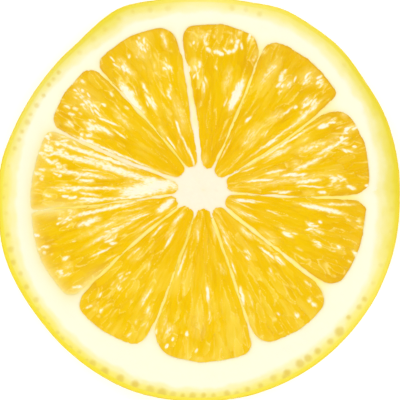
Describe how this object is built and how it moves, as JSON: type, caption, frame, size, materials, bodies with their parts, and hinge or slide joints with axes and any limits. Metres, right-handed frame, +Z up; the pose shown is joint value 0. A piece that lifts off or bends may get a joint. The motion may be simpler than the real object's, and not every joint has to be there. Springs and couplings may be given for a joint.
{
  "type": "orange slice",
  "caption": "Round slice of a fresh orange, cut straight across: thin yellow rind, pale pith, juicy pulp segments between fine membranes, and a pale core. It lies flat on a cut face.",
  "frame": {"origin": "centre of the slice's box, on its lower cut face", "axes": "+Z up through the slice's thickness, square to both cut faces; +Y across the slice towards the side where the peel is thinnest; +X across the slice"},
  "size_m": [0.0762, 0.0766, 0.007],
  "materials": {
    "pulp": "wet, golden, with paler streaks along the juice sacs",
    "pith": "soft cream white, turning yellow towards the rind",
    "rind": "waxy yellow, dimpled with oil glands"
  },
  "bodies": {
    "root": {"orange_slice": "pulp"}
  },
  "joints": []
}
